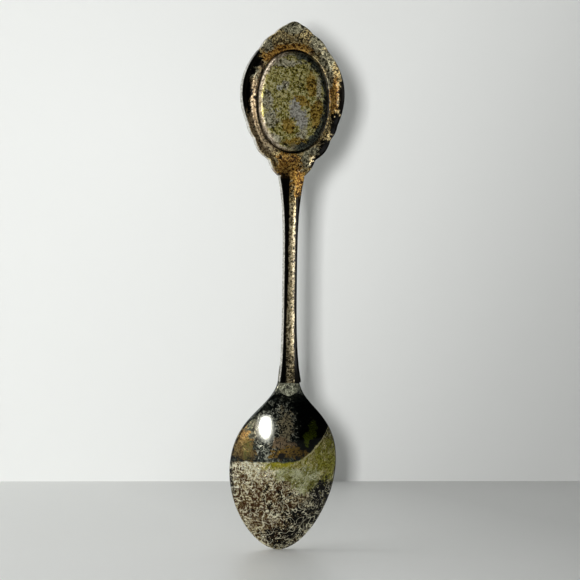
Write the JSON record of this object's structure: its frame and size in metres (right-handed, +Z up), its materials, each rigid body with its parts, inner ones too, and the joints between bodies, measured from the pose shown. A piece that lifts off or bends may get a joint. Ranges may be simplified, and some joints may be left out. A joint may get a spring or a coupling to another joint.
{
  "type": "souvenir spoon",
  "caption": "Small display spoon with an egg-shaped bowl, a narrow channelled stem, and a scalloped finial holding a domed oval enamel emblem.",
  "frame": {"origin": "on the bowl's tip, in the middle of the spoon's width and depth", "axes": "+Z runs up the spoon from the bowl's tip to the finial's point, +Y points to the emblem side and the hollow of the bowl, +X to the right as the plain back is seen"},
  "size_m": [0.024, 0.0081, 0.115],
  "materials": {
    "bowl_plate": "tarnished silver plate, mirror polish under brown and black speckle",
    "stem_plate": "heavily tarnished silver plate, brown, gold and black",
    "cup_plate": "tarnished silver plate, mottled grey-green and olive",
    "solder": "dull grey soft solder with a cracked skin",
    "cement": "dull resin cement",
    "emblem_metal": "polished brass lines",
    "enamel_sky": "glossy pale blue enamel",
    "enamel_sun": "glossy amber enamel",
    "enamel_hills": "glossy green enamel",
    "enamel_water": "glossy deep blue enamel",
    "dome": "clear polished resin dome"
  },
  "bodies": {
    "root": {"bowl": "bowl_plate", "bowl_solder": "solder", "stem": "stem_plate", "finial_solder": "solder", "finial_frame": "stem_plate", "cup_solder": "solder", "emblem_cup": "cup_plate", "emblem_cement": "cement", "emblem_plate": "emblem_metal", "enamel_sky": "enamel_sky", "enamel_sun": "enamel_sun", "enamel_hills": "enamel_hills", "enamel_water": "enamel_water", "emblem_dome": "dome"}
  },
  "joints": []
}
